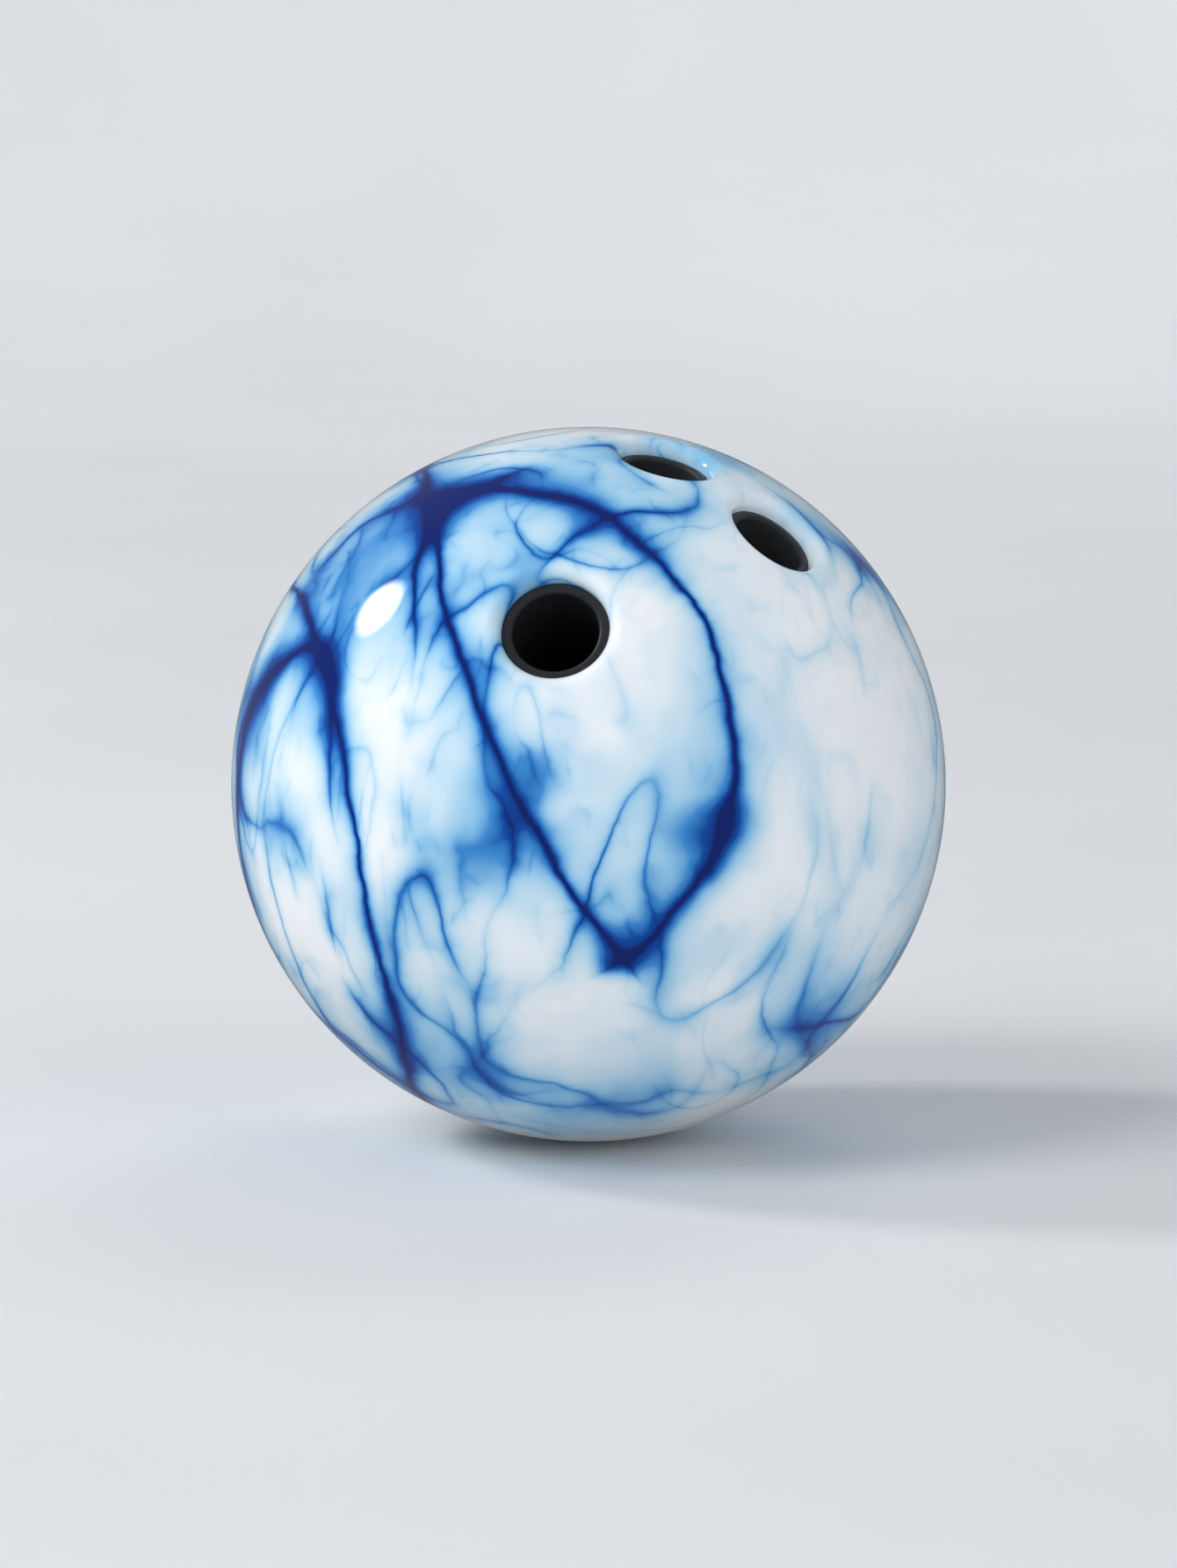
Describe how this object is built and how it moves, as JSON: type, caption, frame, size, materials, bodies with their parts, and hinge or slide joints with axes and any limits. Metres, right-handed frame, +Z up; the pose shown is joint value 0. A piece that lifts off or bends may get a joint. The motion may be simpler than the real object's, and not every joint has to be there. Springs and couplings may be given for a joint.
{
  "type": "bowling ball",
  "caption": "Ball with a marbled shell, a filler core round a bulb-shaped weight block, a locator pin, and a thumb hole and finger holes lined with a slug and inserts.",
  "frame": {"origin": "centre of the ball", "axes": "+Z is up as the ball stands, -Z is the point it stands on; the three holes open on the upper side towards -Y, which is the front, with the fingers turned towards +X; the locator pin comes out on the upper side towards +Y, 22 degrees behind +Z"},
  "size_m": [0.2171, 0.217, 0.2172],
  "materials": {
    "coverstock": "polished, marbled in white, pale blue and navy",
    "outer_core": "cast, matte",
    "weight_block": "cast, matte",
    "weight_block_cap": "cast, matte",
    "locator_pin": "polished with the shell",
    "thumb_slug": "sanded, satin",
    "finger_insert": "moulded, matte"
  },
  "bodies": {
    "root": {"coverstock": "coverstock", "outer_core": "outer_core", "weight_block": "weight_block", "weight_block_cap": "weight_block_cap", "locator_pin": "locator_pin", "thumb_slug": "thumb_slug", "middle_finger_insert": "finger_insert", "ring_finger_insert": "finger_insert"}
  },
  "joints": []
}
